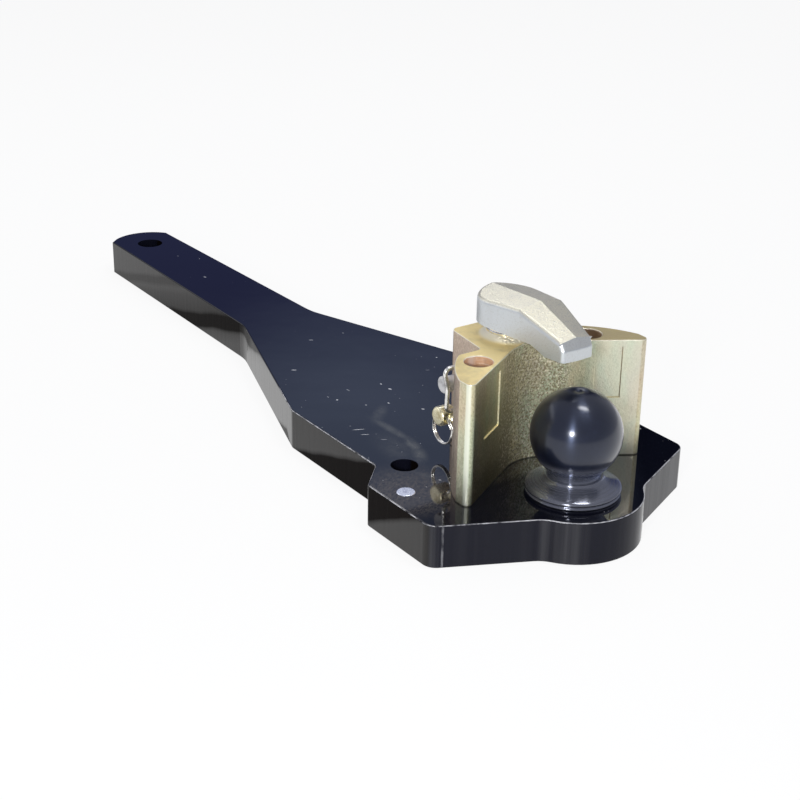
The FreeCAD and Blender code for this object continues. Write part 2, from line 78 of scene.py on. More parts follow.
def noise(tree, source, scale, detail=3.0, roughness=0.5, warp=0.0):
    node = tree.nodes.new("ShaderNodeTexNoise")
    node.inputs["Scale"].default_value = scale
    node.inputs["Detail"].default_value = detail
    node.inputs["Roughness"].default_value = roughness
    node.inputs["Distortion"].default_value = warp
    tree.links.new(source, node.inputs["Vector"])
    return node.outputs["Fac"]


def cells(tree, source, scale, feature="F1"):
    node = tree.nodes.new("ShaderNodeTexVoronoi")
    node.feature = feature
    node.inputs["Scale"].default_value = scale
    tree.links.new(source, node.inputs["Vector"])
    return node.outputs["Distance"]


def grain(tree, source, scale, numbers, turn=0.0, move=(0.0, 0.0, 0.0)):
    # noise drawn out along an axis
    return noise(tree, stretch(tree, source, scale, turn, move), *numbers)


def ramp(tree, fac, low, high, lowOut=0.0, highOut=1.0):
    node = tree.nodes.new("ShaderNodeMapRange")
    node.interpolation_type = "SMOOTHSTEP"
    node.inputs["From Min"].default_value = low
    node.inputs["From Max"].default_value = high
    node.inputs["To Min"].default_value = lowOut
    node.inputs["To Max"].default_value = highOut
    tree.links.new(fac, node.inputs["Value"])
    return node.outputs["Result"]


def maths(tree, kind, a, b=0.0):
    node = tree.nodes.new("ShaderNodeMath")
    node.operation = kind
    feed(tree, node.inputs[0], a)
    feed(tree, node.inputs[1], b)
    return node.outputs["Value"]


def times(tree, *factors):
    result = factors[0]
    for factor in factors[1:]:
        result = maths(tree, "MULTIPLY", result, factor)
    return result


def strongest(tree, *masks):
    result = masks[0]
    for mask in masks[1:]:
        result = maths(tree, "MAXIMUM", result, mask)
    return result


def blend(tree, fac, a, b):
    node = tree.nodes.new("ShaderNodeMix")
    node.data_type = "RGBA"
    feed(tree, node.inputs["Factor"], fac)
    feed(tree, node.inputs["A"], a)
    feed(tree, node.inputs["B"], b)
    return node.outputs["Result"]


def between(tree, fac, a, b):
    node = tree.nodes.new("ShaderNodeMix")
    feed(tree, node.inputs["Factor"], fac)
    feed(tree, node.inputs["A"], a)
    feed(tree, node.inputs["B"], b)
    return node.outputs["Result"]


def relief(tree, height, strength, depth, under=None):
    node = tree.nodes.new("ShaderNodeBump")
    node.inputs["Strength"].default_value = strength
    node.inputs["Distance"].default_value = depth
    tree.links.new(height, node.inputs["Height"])
    if under is not None:
        tree.links.new(under, node.inputs["Normal"])
    return node.outputs["Normal"]


def parts(tree, source):
    node = tree.nodes.new("ShaderNodeSeparateXYZ")
    tree.links.new(source, node.inputs["Vector"])
    return node.outputs["X"], node.outputs["Y"], node.outputs["Z"]


def facing(tree):
    return parts(tree, tree.nodes.new("ShaderNodeTexCoord").outputs["Normal"])


def distanceTo(tree, source, centre):
    # measured in plan, so it stays the same all the way up an upright axis
    flat = stretch(tree, source, (1.0, 1.0, 0.0))
    node = tree.nodes.new("ShaderNodeVectorMath")
    node.operation = "DISTANCE"
    tree.links.new(flat, node.inputs[0])
    node.inputs[1].default_value = (*centre, 0.0)
    return node.outputs["Value"]


def levels(tree, fac, stops):
    node = tree.nodes.new("ShaderNodeValToRGB")
    marks = node.color_ramp.elements
    while len(marks) < len(stops):
        marks.new(0.5)
    for mark, (at, level) in zip(marks, stops):
        mark.position = at
        mark.color = (level, level, level, 1.0)
    tree.links.new(fac, node.inputs["Fac"])
    return node.outputs["Color"]


# gloss black paint over a flame-cut plate; places and sizes in metres
# a Noise is scale, detail, roughness and warp; a Grain is a stretch, its noise, and a turn or a shift
# a Range or Facing says where a mask starts and ends, and then its two values if they aren't 0 and 1
platePaint = {
    "base": (0.0030, 0.0034, 0.0075), "haze": (0.021, 0.024, 0.034), "dust": (0.105, 0.090, 0.074),
    # navy and brown are painted reflection tints for the sides of the black paint
    "film": (0.090, 0.091, 0.084), "brown": (0.0040, 0.0028, 0.0024), "navy": (0.0060, 0.0065, 0.0130),
    "speck": (0.66, 0.67, 0.70), "edge": (0.46, 0.46, 0.48),
    "topFacing": (0.80, 0.97), "sideFacing": (0.6, 0.2), "longFacing": (-0.82, -0.95),
    "aheadFacing": (0.3, 0.8),
    "coatIor": 1.45, "coatRoughness": 0.03, "topRoughness": (0.030, 0.13), "sideRoughness": (0.07, 0.12),
    "sideNoise": (40.0, 3.0), "sideRange": (0.3, 0.7),
    # haze lies on the wide part of the top and is drawn out by wiping
    "hazeNoise": (6.0, 4.0, 0.55, 0.5), "hazeRange": (0.45, 0.68), "hazeFromX": (0.36, 0.52, 0.15, 1.0),
    "hazeToX": (0.54, 0.64, 1.0, 0.35), "hazeAmount": 0.8,
    "wipeGrain": ((9.0, 60.0, 20.0), (1.0, 4.0, 0.6), 0.95),
    # dust settles round the plug of the left ear
    "dustCentre": (0.730, -0.120), "dustReach": (0.062, 0.015), "dustAmount": 0.8,
    "dustGrain": ((1.0, 0.45, 1.0), (520.0, 5.0, 0.7), 0.55), "dustRange": (0.22, 0.72),
    # wiping marks: centre, turn, half length, half width, strength
    "smears": (((0.583, -0.0515), -0.78, 0.020, 0.0060, 0.55), ((0.618, -0.0615), 0.02, 0.030, 0.0050, 0.85),
               ((0.655, -0.0640), -0.25, 0.018, 0.0060, 0.95), ((0.676, -0.0715), -0.44, 0.016, 0.0070, 0.90),
               ((0.655, -0.0800), -0.20, 0.036, 0.0170, 0.35), ((0.713, -0.0910), 0.34, 0.012, 0.0035, 0.50),
               ((0.734, -0.0930), -0.37, 0.018, 0.0050, 0.50)),
    "smearFade": (1.5, 0.1), "smearNoise": (70.0, 4.0, 0.65, 0.4), "smearRange": (0.30, 0.70),
    "smearDepth": (0.0, 1.0, 0.45, 1.0),
    # flecks and grit lie all over, these scratches and specks each in its place, as the wiping marks
    "fleckScale": 34.0, "fleckSize": (0.046, 0.024), "fleckNoise": (24.0, 1.0), "fleckRange": (0.47, 0.50),
    "gritScale": 130.0, "gritSize": (0.085, 0.045), "gritFromX": (0.40, 0.56, 0.10, 0.55),
    "gritNoise": (60.0, 2.0), "gritRange": (0.52, 0.60), "scratchFade": (1.0, 0.5),
    "scratches": (((0.6012, -0.0872), 1.16, 0.0074, 0.00055, 1.0),
        ((0.6137, -0.0882), 1.00, 0.0048, 0.00055, 0.9),
                  ((0.6322, -0.0796), 1.00, 0.0038, 0.00050, 0.5),
                  ((0.4458, -0.0627), 1.00, 0.0034, 0.00090, 1.0),
                  ((0.5181, -0.0446), 0.10, 0.0034, 0.00070, 0.5),
                  ((0.5186, 0.0514), 1.00, 0.0028, 0.00060, 0.4),
                  ((0.5231, -0.0088), 0.0, 0.0017, 0.0011, 0.9),
                  ((0.5383, -0.0084), 0.4, 0.0026, 0.0013, 1.0),
                  ((0.5658, -0.0290), 0.0, 0.0018, 0.0010, 0.9),
                  ((0.5580, -0.0500), 0.0, 0.0016, 0.0010, 0.6),
                  ((0.5954, -0.0092), 0.5, 0.0022, 0.0013, 0.8),
                  ((0.1475, -0.0029), 0.3, 0.0028, 0.0014, 0.7),
                  ((0.0623, 0.0063), 0.0, 0.0016, 0.0010, 0.4), ((0.3848, -0.0045), 0.9, 0.0030, 0.0013, 0.5),
                  ((0.3858, 0.0353), 0.0, 0.0018, 0.0010, 0.4), ((0.5220, -0.0704), 0.0, 0.0016, 0.0009, 0.5),
                  ((0.7275, -0.0855), 0.2, 0.0018, 0.0012, 0.7)),
    # pale and dark bands lie on the long side, in steps of a slanted height
    "bandSlope": 0.25, "bandBends": ((0.50, 0.06), (0.69, 0.12)),
    "bandSteps": ((0.30, 0.34, 0.0130), (0.505, 0.53, 0.0187)), "bandSpan": (-0.20, 0.04),
    "bandNoise": (16.0, 2.0), "bandWander": (0.2, 0.8, -0.0022, 0.0022),
    "bandFacing": (-0.15, -0.28, 1.0, 0.78),
    "bands": ((0.0, 0.42), (0.188, 0.42), (0.210, 0.02), (0.394, 0.02), (0.414, 0.38), (0.58, 0.35),
              (0.622, 0.22), (0.642, 0.015), (0.704, 0.015), (0.724, 0.11), (0.75, 0.135), (0.792, 0.175), (0.821, 0.26),
              (0.843, 0.155), (0.868, 0.155), (0.888, 0.32), (1.0, 0.36)),
    # upright streaks, where the cut turns round the corners and the nose
    "turnedFacing": ((-0.15, 0.15), (0.95, 0.80)), "cheekFacing": (0.72, 0.94, 0.46, 0.18),
    "streakGrain": ((60.0, 60.0, 1.5), (1.0, 3.0, 0.6)), "thinGrain": ((170.0, 170.0, 2.0), (1.0, 2.0, 0.5)),
    "streakRange": (0.30, 0.68, 0.88, 1.14), "turnedRange": (0.36, 0.62, 0.74, 1.22),
    "thinRange": (0.34, 0.66, 0.75, 1.25),
    # shine of the top, and of its left and right parts ahead of the housing
    "topShine": (0.30, 0.04, 1.0), "frontFromX": (0.75, 0.765), "leftOfY": (-0.005, -0.02),
    "rightOfY": (0.0, 0.02),
    "leftCoat": 0.45,
    # paint rubbed thin along the top edge and at the seam of the cut
    "edgeFromX": (0.47, 0.49), "edgeFacing": ((0.25, 0.5), (0.93, 0.8)), "edgeNoise": (90.0, 3.0, 0.6),
    "edgeRange": (0.30, 0.62), "seamAt": (0.7974, -0.1334), "seamHalf": (0.0013, 0.4 * 0.0013),
    "seamAmount": 0.35,
    "rubRoughness": 0.3,
    # relief: drag lines of the torch, roll of the sheet and orange peel, with strength and depth
    "dragGrain": ((230.0, 230.0, 12.0), (1.0, 3.0, 0.55)), "dragRelief": (0.22, 0.0005),
    "rollNoise": (18.0, 2.0), "rollRelief": (0.10, 0.0010),
    "peelNoise": (420.0, 2.0, 0.5), "peelRelief": (0.08, 0.00012),
}


def patchAt(tree, source, centre, turn, halfLength, halfWidth):
    # 0 at the middle of a long oval in plan, 1 on its edge
    node = tree.nodes.new("ShaderNodeMapping")
    node.vector_type = "TEXTURE"
    node.inputs["Location"].default_value = (*centre, 0.0)
    node.inputs["Rotation"].default_value = (0.0, 0.0, turn)
    node.inputs["Scale"].default_value = (halfLength, halfWidth, 100.0)
    tree.links.new(source, node.inputs["Vector"])
    size = tree.nodes.new("ShaderNodeVectorMath")
    size.operation = "LENGTH"
    tree.links.new(node.outputs["Vector"], size.inputs[0])
    return size.outputs["Value"]


def patchesAt(tree, source, patches, fade):
    masks = []
    for centre, turn, halfLength, halfWidth, strength in patches:
        oval = patchAt(tree, source, centre, turn, halfLength, halfWidth)
        masks.append(times(tree, ramp(tree, oval, *fade), strength))
    return masks


def wipingMarks(tree, at, look):
    cloud = ramp(tree, noise(tree, at, *look["smearNoise"]), *look["smearRange"])
    smears = strongest(tree, *patchesAt(tree, at, look["smears"], look["smearFade"]))
    return times(tree, smears, ramp(tree, cloud, *look["smearDepth"]))


def specksAndScratches(tree, at, x, look):
    flat = stretch(tree, at, (1.0, 1.0, 0.0))
    flecks = times(tree, ramp(tree, cells(tree, flat, look["fleckScale"]), *look["fleckSize"]),
                   ramp(tree, noise(tree, at, *look["fleckNoise"]), *look["fleckRange"]))
    grit = times(tree, ramp(tree, cells(tree, flat, look["gritScale"]), *look["gritSize"]),
                 ramp(tree, x, *look["gritFromX"]),
                 ramp(tree, noise(tree, at, *look["gritNoise"]), *look["gritRange"]))
    return strongest(tree, flecks, grit, *patchesAt(tree, at, look["scratches"], look["scratchFade"]))


def slantedHeight(tree, x, z, look):
    lean = times(tree, x, look["bandSlope"])
    for start, extra in look["bandBends"]:
        past = maths(tree, "MAXIMUM", maths(tree, "SUBTRACT", x, start), 0.0)
        lean = maths(tree, "ADD", lean, times(tree, past, extra))
    slant = maths(tree, "SUBTRACT", z, lean)
    for start, end, step in look["bandSteps"]:
        slant = maths(tree, "ADD", slant, ramp(tree, x, start, end, 0.0, step))
    return slant


def longSideShine(tree, at, nx, look):
    x, y, z = parts(tree, at)
    wander = ramp(tree, noise(tree, at, *look["bandNoise"]), *look["bandWander"])
    slant = maths(tree, "ADD", slantedHeight(tree, x, z, look), wander)
    low, high = look["bandSpan"]
    along = maths(tree, "DIVIDE", maths(tree, "SUBTRACT", slant, low), high - low)
    return times(tree, levels(tree, along, look["bands"]), ramp(tree, nx, *look["bandFacing"]))


def frontSideShine(tree, at, nx, look):
    streaks = grain(tree, at, *look["streakGrain"])
    thin = grain(tree, at, *look["thinGrain"])
    fromSide, toFront = look["turnedFacing"]
    turned = times(tree, ramp(tree, nx, *fromSide), ramp(tree, nx, *toFront))
    shine = times(tree, ramp(tree, nx, *look["cheekFacing"]), ramp(tree, streaks, *look["streakRange"]))
    shine = times(tree, shine, between(tree, turned, 1.0, ramp(tree, streaks, *look["turnedRange"])))
    return times(tree, shine, between(tree, turned, 1.0, ramp(tree, thin, *look["thinRange"])))


def makePlatePaint(look):
    material, tree, shader = startMaterial("platePaint")
    at = place(tree)
    nx, ny, nz = facing(tree)
    x, y, z = parts(tree, at)
    top = ramp(tree, nz, *look["topFacing"])
    side = ramp(tree, maths(tree, "ABSOLUTE", nz), *look["sideFacing"])
    long = ramp(tree, ny, *look["longFacing"])
    # what lies on the top
    haze = ramp(tree, noise(tree, at, *look["hazeNoise"]), *look["hazeRange"])
    haze = times(tree, haze, ramp(tree, x, *look["hazeFromX"]), ramp(tree, x, *look["hazeToX"]))
    haze = times(tree, haze, grain(tree, at, *look["wipeGrain"]))
    smear = wipingMarks(tree, at, look)
    dusty = times(tree, ramp(tree, distanceTo(tree, at, look["dustCentre"]), *look["dustReach"]),
                  ramp(tree, grain(tree, at, *look["dustGrain"]), *look["dustRange"]))
    marks = times(tree, top, specksAndScratches(tree, at, x, look))
    # where the paint is rubbed thin
    below, above = look["edgeFacing"]
    rim = times(tree, ramp(tree, nz, *below), ramp(tree, nz, *above), ramp(tree, x, *look["edgeFromX"]))
    seam = times(tree, ramp(tree, distanceTo(tree, at, look["seamAt"]), *look["seamHalf"]), side)
    worn = ramp(tree, noise(tree, at, *look["edgeNoise"]), *look["edgeRange"])
    rub = times(tree, strongest(tree, rim, times(tree, seam, look["seamAmount"])), worn)
    colour = blend(tree, times(tree, haze, look["hazeAmount"]), look["base"], look["haze"])
    colour = blend(tree, times(tree, smear, top), colour, look["film"])
    colour = blend(tree, times(tree, dusty, top, look["dustAmount"]), colour, look["dust"])
    # painted reflection tints: sides facing ahead turn navy and the long side turns brown
    colour = blend(tree, times(tree, side, ramp(tree, nx, *look["aheadFacing"])), colour, look["navy"])
    colour = blend(tree, times(tree, side, long), colour, look["brown"])
    colour = blend(tree, rub, colour, look["edge"])
    colour = blend(tree, marks, colour, look["speck"])
    tree.links.new(colour, shader.inputs["Base Color"])
    # shine of the sides and the top
    calm, leftTop, rightTop = look["topShine"]
    leftFront = times(tree, ramp(tree, y, *look["leftOfY"]), ramp(tree, x, *look["frontFromX"]))
    rightFront = times(tree, ramp(tree, y, *look["rightOfY"]), ramp(tree, x, *look["frontFromX"]))
    onTop = between(tree, rightFront, between(tree, leftFront, calm, leftTop), rightTop)
    onSide = between(tree, long, frontSideShine(tree, at, nx, look), longSideShine(tree, at, nx, look))
    tree.links.new(between(tree, side, onTop, onSide), shader.inputs["Specular IOR Level"])
    dull = strongest(tree, haze, strongest(tree, smear, dusty))
    rough = between(tree, side, ramp(tree, dull, 0.0, 1.0, *look["topRoughness"]),
                    ramp(tree, noise(tree, at, *look["sideNoise"]), *look["sideRange"], *look["sideRoughness"]))
    rough = maths(tree, "ADD", rough, times(tree, strongest(tree, rub, marks), look["rubRoughness"]))
    tree.links.new(rough, shader.inputs["Roughness"])
    clear = times(tree, top, maths(tree, "SUBTRACT", 1.0, marks),
                  ramp(tree, leftFront, 0.0, 1.0, 1.0, look["leftCoat"]))
    tree.links.new(clear, shader.inputs["Coat Weight"])
    shader.inputs["Coat IOR"].default_value = look["coatIor"]
    shader.inputs["Coat Roughness"].default_value = look["coatRoughness"]
    drag = relief(tree, times(tree, grain(tree, at, *look["dragGrain"]), side), *look["dragRelief"])
    roll = relief(tree, noise(tree, at, *look["rollNoise"]), *look["rollRelief"], drag)
    peel = relief(tree, noise(tree, at, *look["peelNoise"]), *look["peelRelief"], roll)
    tree.links.new(peel, shader.inputs["Normal"])
    tree.links.new(roll, shader.inputs["Coat Normal"])
    return material


# turned ball, blued and burnished; the neck and flange are worn nearly bare
ballSteel = {
    "base": (0.003, 0.004, 0.010), "rub": (0.008, 0.010, 0.022), "worn": (0.19, 0.20, 0.24),
    "wornBelow": (0.078, 0.066), "wornMetal": 0.92, "wornRange": (0.30, 0.62, 0.55, 1.0),
    "wornRoughness": 0.21,
    "patchNoise": (30.0, 4.0, 0.6, 0.3), "patchRange": (0.45, 0.7), "scuffNoise": (210.0, 3.0, 0.6),
    "scuffRange": (0.62, 0.75), "scuffAmount": 0.6, "lineGrain": ((10.0, 10.0, 1500.0), (1.0, 2.0, 0.5)),
    "lineRelief": (0.06, 0.00005), "waveNoise": (55.0, 2.0), "waveRelief": (0.12, 0.0006),
    "roughness": (0.4, 1.6, 0.32, 0.40), "specular": 0.52, "tint": (0.50, 0.62, 1.0), "streak": 0.80,
    "streakTurn": 0.25, "coatIor": 1.45, "coatRoughness": 0.17,
}


def makeBallSteel(look):
    material, tree, shader = startMaterial("ballSteel")
    at = place(tree)
    z = parts(tree, at)[2]
    patch = ramp(tree, noise(tree, at, *look["patchNoise"]), *look["patchRange"])
    lines = grain(tree, at, *look["lineGrain"])
    scuff = ramp(tree, noise(tree, at, *look["scuffNoise"]), *look["scuffRange"])
    colour = blend(tree, patch, look["base"], look["rub"])
    colour = blend(tree, times(tree, scuff, look["scuffAmount"]), colour, look["rub"])
    worn = times(tree, ramp(tree, z, *look["wornBelow"]), ramp(tree, lines, *look["wornRange"]))
    tree.links.new(blend(tree, worn, colour, look["worn"]), shader.inputs["Base Color"])
    tree.links.new(times(tree, worn, look["wornMetal"]), shader.inputs["Metallic"])
    rough = ramp(tree, maths(tree, "ADD", patch, lines), *look["roughness"])
    tree.links.new(between(tree, worn, rough, look["wornRoughness"]), shader.inputs["Roughness"])
    tree.links.new(relief(tree, lines, *look["lineRelief"]), shader.inputs["Normal"])
    waves = relief(tree, noise(tree, at, *look["waveNoise"]), *look["waveRelief"])
    tree.links.new(waves, shader.inputs["Coat Normal"])
    # lathe lines run round, so the light draws out upright
    around = tree.nodes.new("ShaderNodeTangent")
    around.direction_type = "RADIAL"
    around.axis = "Z"
    tree.links.new(around.outputs["Tangent"], shader.inputs["Tangent"])
    shader.inputs["Anisotropic"].default_value = look["streak"]
    shader.inputs["Anisotropic Rotation"].default_value = look["streakTurn"]
    feed(tree, shader.inputs["Specular Tint"], look["tint"])
    shader.inputs["Specular IOR Level"].default_value = look["specular"]
    shader.inputs["Coat Weight"].default_value = 1.0
    shader.inputs["Coat IOR"].default_value = look["coatIor"]
    shader.inputs["Coat Roughness"].default_value = look["coatRoughness"]
    return material


# cast housing under yellow chromate, whose tint drifts from gold to green and rose
housingZinc = {
    "gold": (0.97, 0.80, 0.40), "straw": (0.72, 0.66, 0.42), "green": (0.58, 0.66, 0.46),
    "rose": (0.68, 0.50, 0.42),
    # the bare colour serves the turned rings in the bores and a painted highlight stripe on their walls
    "umber": (0.32, 0.27, 0.16), "copper": (0.80, 0.50, 0.30), "bare": (0.95, 0.79, 0.68),
    "cream": (1.0, 0.95, 0.80),
    # the pale tip colour is a painted highlight on the wing tips, and the soot colour is painted shade in the
    # wells and at the foot
    "tip": (0.92, 0.94, 0.82), "paintedShade": (0.05, 0.045, 0.03),
    # drift of the tint
    "driftGrain": ((26.0, 26.0, 10.0), (1.0, 3.0, 0.55, 0.6)), "driftRange": (0.38, 0.62),
    "blushGrain": ((34.0, 34.0, 12.0), (1.0, 2.0, 0.5, 0.4), 0.0, (3.1, 0.4, 1.7)),
    "blushRange": (0.50, 0.72),
    "blushAmount": 0.45,
    # outer sides blush rose, wing tips facing the front get a painted highlight, and the left flank of the vee
    # is painted umber near the plate as a painted reflection of the black plate
    "outerFacing": ((-0.25, -0.75), (0.05, -0.10)), "outerAmount": 0.75,
    "tipFacing": ((-0.35, -0.65), (0.0, 0.25)), "tipFromX": (0.755, 0.765), "tipAmount": 0.8,
    "flankFacing": (0.25, 0.5), "flankOfY": (0.0, -0.012), "flankFromX": (0.715, 0.73),
    "flankBelow": (0.135, 0.055),
    "flankDepth": (0.0, 1.0, 0.25, 0.92),
    # casting skin, rough at the root of the vee and finer elsewhere
    "rootHalf": (0.046, 0.030), "rootX": (0.775, 0.745), "rootFacing": (0.15, 0.4), "sideFacing": (0.5, 0.2),
    "pitNoise": (520.0, 3.0, 0.65), "pitRange": (0.56, 0.38), "pitAmount": 0.92, "lumpScale": 430.0,
    "lumpRange": (0.45, 0.20), "lumpAmount": 0.70, "lumpHeight": 0.6,
    "skinGrain": ((1.0, 1.0, 0.7), (620.0, 4.0, 0.75)), "skinDark": (0.46, 0.74), "skinDarkAmount": 0.50,
    "skinPale": (0.54, 0.28), "skinPaleAmount": 0.40,
    # machined top, with painted shade on the right wing's top and a painted highlight along its bright edge
    "topFacing": (0.6, 0.95), "stainNoise": (48.0, 3.0, 0.6, 0.4), "stainRange": (0.45, 0.70),
    "stainAmount": 0.26,
    "dimRight": (0.01, 0.04, 0.0, 0.66), "crestZ": (0.150, 0.151), "crestFacing": ((0.15, 0.4), (0.97, 0.85)),
    "crestAmount": 0.85,
    # screw wells with a painted highlight stripe and painted shade inside, and the dark line at the foot, which
    # is painted shade
    "wellAt": (0.744, 0.0608), "wellEdge": (0.0130, 0.0126), "wellFacing": (0.85, 0.6),
    "ringGrain": ((70.0, 70.0, 900.0), (1.0, 2.0)), "ringRange": (0.5, 0.7, 0.0, 0.6),
    "highlightFacing": ((-0.55, -0.15), (0.35, -0.05)), "highlightAmount": 0.8, "boreShadeBelow": (0.146, 0.118, 0.0, 0.85),
    "wellDimRight": (-0.01, 0.01, 0.0, 0.5), "footBelow": (0.0416, 0.0404), "footAmount": 0.9,
    # gloss and relief
    "metal": (1.0, 0.35), "topMetal": 0.62, "cloudGrain": ((60.0, 60.0, 40.0), (1.0, 4.0)),
    "roughness": (0.3, 0.7, 0.28, 0.38), "rootRougher": 0.02, "tipRougher": 0.09, "topRougher": 0.14,
    "tipSmooth": 0.45, "skinRelief": (0.55, 0.0011), "waveNoise": (150.0, 3.0, 0.5),
    "waveRelief": (0.20, 0.0005),
    "rootRelief": (1.0, 0.0015),
}


def boredWells(tree, at, ny, look):
    # bored after casting, so they take a copper tone
    x, y, z = parts(tree, at)
    rings = grain(tree, at, *look["ringGrain"])
    # painted highlight: a pale stripe up the bore walls that face one way, joined with the turned rings
    shaded, lit = look["highlightFacing"]
    highlightBand = times(tree, ramp(tree, ny, *shaded), ramp(tree, ny, *lit))
    bare = strongest(tree, times(tree, highlightBand, look["highlightAmount"]), ramp(tree, rings, *look["ringRange"]))
    bore = blend(tree, bare, look["copper"], look["bare"])
    # painted shade: darker towards the bottom of the wells, and the right-hand well darker still
    bore = blend(tree, ramp(tree, z, *look["boreShadeBelow"]), bore, look["paintedShade"])
    return blend(tree, ramp(tree, y, *look["wellDimRight"]), bore, look["umber"])


def driftingTint(tree, at, nx, ny, tip, look):
    x, y, z = parts(tree, at)
    drift = grain(tree, at, *look["driftGrain"])
    blush = ramp(tree, grain(tree, at, *look["blushGrain"]), *look["blushRange"])
    colour = blend(tree, ramp(tree, drift, *look["driftRange"]), look["straw"], look["green"])
    colour = blend(tree, times(tree, blush, look["blushAmount"]), colour, look["rose"])
    outward, backward = look["outerFacing"]
    outer = times(tree, ramp(tree, ny, *outward), ramp(tree, nx, *backward))
    colour = blend(tree, times(tree, outer, look["outerAmount"]), colour, look["rose"])
    # painted highlight: the wing tips facing the front turn pale
    colour = blend(tree, times(tree, tip, look["tipAmount"]), colour, look["tip"])
    # painted reflection of the black plate: the left flank of the vee darkens to umber near the plate
    flankShade = times(tree, ramp(tree, ny, *look["flankFacing"]), ramp(tree, y, *look["flankOfY"]),
                  ramp(tree, x, *look["flankFromX"]))
    low = ramp(tree, ramp(tree, z, *look["flankBelow"]), *look["flankDepth"])
    return blend(tree, times(tree, flankShade, low), colour, look["umber"])


def makeHousingZinc(look):
    material, tree, shader = startMaterial("housingZinc")
    at = place(tree)
    nx, ny, nz = facing(tree)
    x, y, z = parts(tree, at)
    # mask of the wing tips facing the front, where a highlight is painted
    outward, forward = look["tipFacing"]
    tip = times(tree, ramp(tree, ny, *outward), ramp(tree, nx, *forward), ramp(tree, x, *look["tipFromX"]))
    colour = driftingTint(tree, at, nx, ny, tip, look)
    offset = maths(tree, "ABSOLUTE", y)
    root = times(tree, ramp(tree, offset, *look["rootHalf"]), ramp(tree, x, *look["rootX"]),
                 ramp(tree, nx, *look["rootFacing"]))
    sides = times(tree, ramp(tree, maths(tree, "ABSOLUTE", nz), *look["sideFacing"]),
                  maths(tree, "SUBTRACT", 1.0, tip))
    pits = noise(tree, at, *look["pitNoise"])
    lumps = cells(tree, at, look["lumpScale"], "SMOOTH_F1")
    skin = grain(tree, at, *look["skinGrain"])
    for mask, where, span, amount, tone in (
            (skin, sides, "skinDark", "skinDarkAmount", "umber"),
            (skin, sides, "skinPale", "skinPaleAmount", "cream"),
            (lumps, root, "lumpRange", "lumpAmount", "cream"), (pits, root, "pitRange", "pitAmount", "umber")):
        shown = times(tree, where, ramp(tree, mask, *look[span]), look[amount])
        colour = blend(tree, shown, colour, look[tone])
    top = ramp(tree, nz, *look["topFacing"])
    colour = blend(tree, top, colour, look["gold"])
    stainAndShade = ramp(tree, noise(tree, at, *look["stainNoise"]), *look["stainRange"])
    # painted shade: the right wing's top is darkened with umber, together with the real stains
    stainAndShade = strongest(tree, times(tree, stainAndShade, look["stainAmount"]), ramp(tree, y, *look["dimRight"]))
    colour = blend(tree, times(tree, top, stainAndShade), colour, look["umber"])
    # painted highlight: a cream line along the top edge
    below, above = look["crestFacing"]
    crest = times(tree, ramp(tree, z, *look["crestZ"]), ramp(tree, nz, *below), ramp(tree, nz, *above))
    colour = blend(tree, times(tree, crest, look["crestAmount"]), colour, look["cream"])
    wellX, wellY = look["wellAt"]
    wells = maths(tree, "MINIMUM", distanceTo(tree, at, (wellX, wellY)), distanceTo(tree, at, (wellX, -wellY)))
    bored = times(tree, ramp(tree, wells, *look["wellEdge"]), ramp(tree, nz, *look["wellFacing"]))
    colour = blend(tree, bored, colour, boredWells(tree, at, ny, look))
    # painted shade: a dark line at the foot, where the housing meets the plate
    foot = times(tree, ramp(tree, z, *look["footBelow"]), look["footAmount"])
    tree.links.new(blend(tree, foot, colour, look["paintedShade"]), shader.inputs["Base Color"])
    metal = times(tree, between(tree, bored, *look["metal"]), ramp(tree, top, 0.0, 1.0, 1.0, look["topMetal"]))
    tree.links.new(metal, shader.inputs["Metallic"])
    rough = ramp(tree, grain(tree, at, *look["cloudGrain"]), *look["roughness"])
    rougher = maths(tree, "ADD", times(tree, root, look["rootRougher"]), times(tree, tip, look["tipRougher"]))
    rough = maths(tree, "ADD", maths(tree, "ADD", rough, rougher), times(tree, top, look["topRougher"]))
    tree.links.new(rough, shader.inputs["Roughness"])
    smooth = ramp(tree, tip, 0.0, 1.0, 1.0, look["tipSmooth"])
    fine = relief(tree, times(tree, skin, smooth), *look["skinRelief"])
    broad = relief(tree, noise(tree, at, *look["waveNoise"]), *look["waveRelief"], fine)
    rootSkin = times(tree, maths(tree, "ADD", pits, times(tree, lumps, look["lumpHeight"])), root)
    tree.links.new(relief(tree, rootSkin, *look["rootRelief"], broad), shader.inputs["Normal"])
    return material


# clear zinc on a blasted casting; its upward faces are painted lighter and warmer than its sides, a painted
# highlight
leverZinc = {
    "crownHighlight": (0.93, 0.89, 0.72), "side": (0.63, 0.66, 0.68), "pit": (0.52, 0.52, 0.50),
    "crownFacing": (0.30, 0.85),
    "pitNoise": (640.0, 3.0, 0.65), "pitRange": (0.52, 0.68), "pitAmount": 0.45, "pitRelief": (0.52, 0.0006),
    "cloudNoise": (38.0, 3.0, 0.5, 0.2), "cloudRange": (0.50, 0.70), "cloudAmount": 0.15,
    "dentScale": 260.0, "dentRelief": (0.24, 0.0004), "metallic": 0.92, "roughness": (0.3, 0.7, 0.33, 0.43),
}


